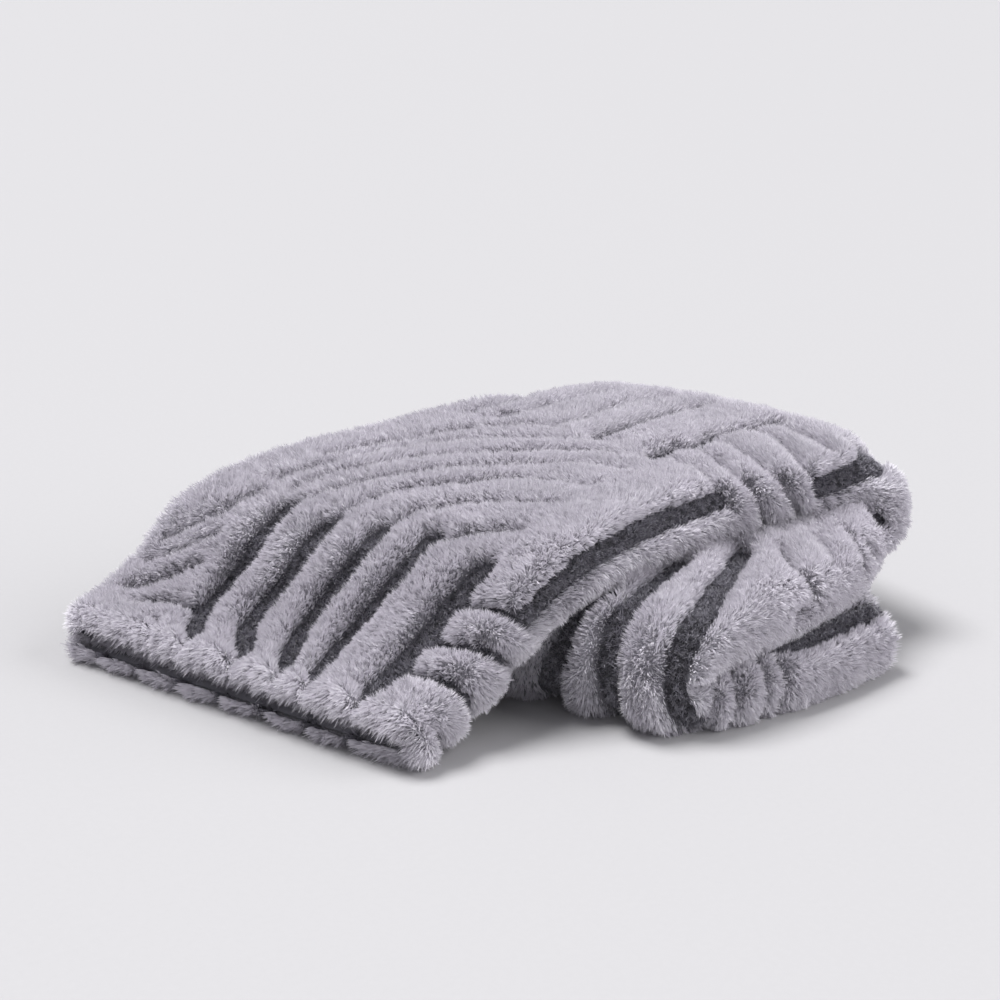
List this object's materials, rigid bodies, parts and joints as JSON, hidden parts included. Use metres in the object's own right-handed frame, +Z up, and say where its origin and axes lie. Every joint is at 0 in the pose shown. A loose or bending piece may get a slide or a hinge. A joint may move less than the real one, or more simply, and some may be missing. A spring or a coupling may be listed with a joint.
{
  "type": "folded throw blanket",
  "caption": "Plush throw blanket with a sculpted rib pattern, folded in four across and in three along, its free end sloping down to the floor.",
  "frame": {"origin": "centre of the bundle's bounding box, on the surface that it lies on", "axes": "+X along the folded strip from the free end on the left to the closed turn on the right, +Y from the front fold edge to the back, +Z up"},
  "size_m": [0.6476, 0.4737, 0.157],
  "materials": {
    "plush_face": "long cut pile ribs in light grey with short curled charcoal pile between them",
    "backing": "short brushed knitted backing, mid grey",
    "seam_edge": "sewn and turned edge, pale grey, with pile caught in it",
    "thread": "spun polyester sewing thread",
    "label": "blank woven satin tape"
  },
  "bodies": {
    "root": {"top_face": "plush_face", "top_backing": "backing", "right_turn_face": "plush_face", "right_turn_backing": "backing", "middle_face": "plush_face", "middle_backing": "backing", "left_turn_face": "plush_face", "left_turn_backing": "backing", "bottom_face": "plush_face", "bottom_backing": "backing", "top_end_seam": "seam_edge", "bottom_end_seam": "seam_edge", "outer_side_seam": "seam_edge", "inner_side_seam": "seam_edge", "closing_thread": "thread", "care_label": "label"}
  },
  "joints": []
}
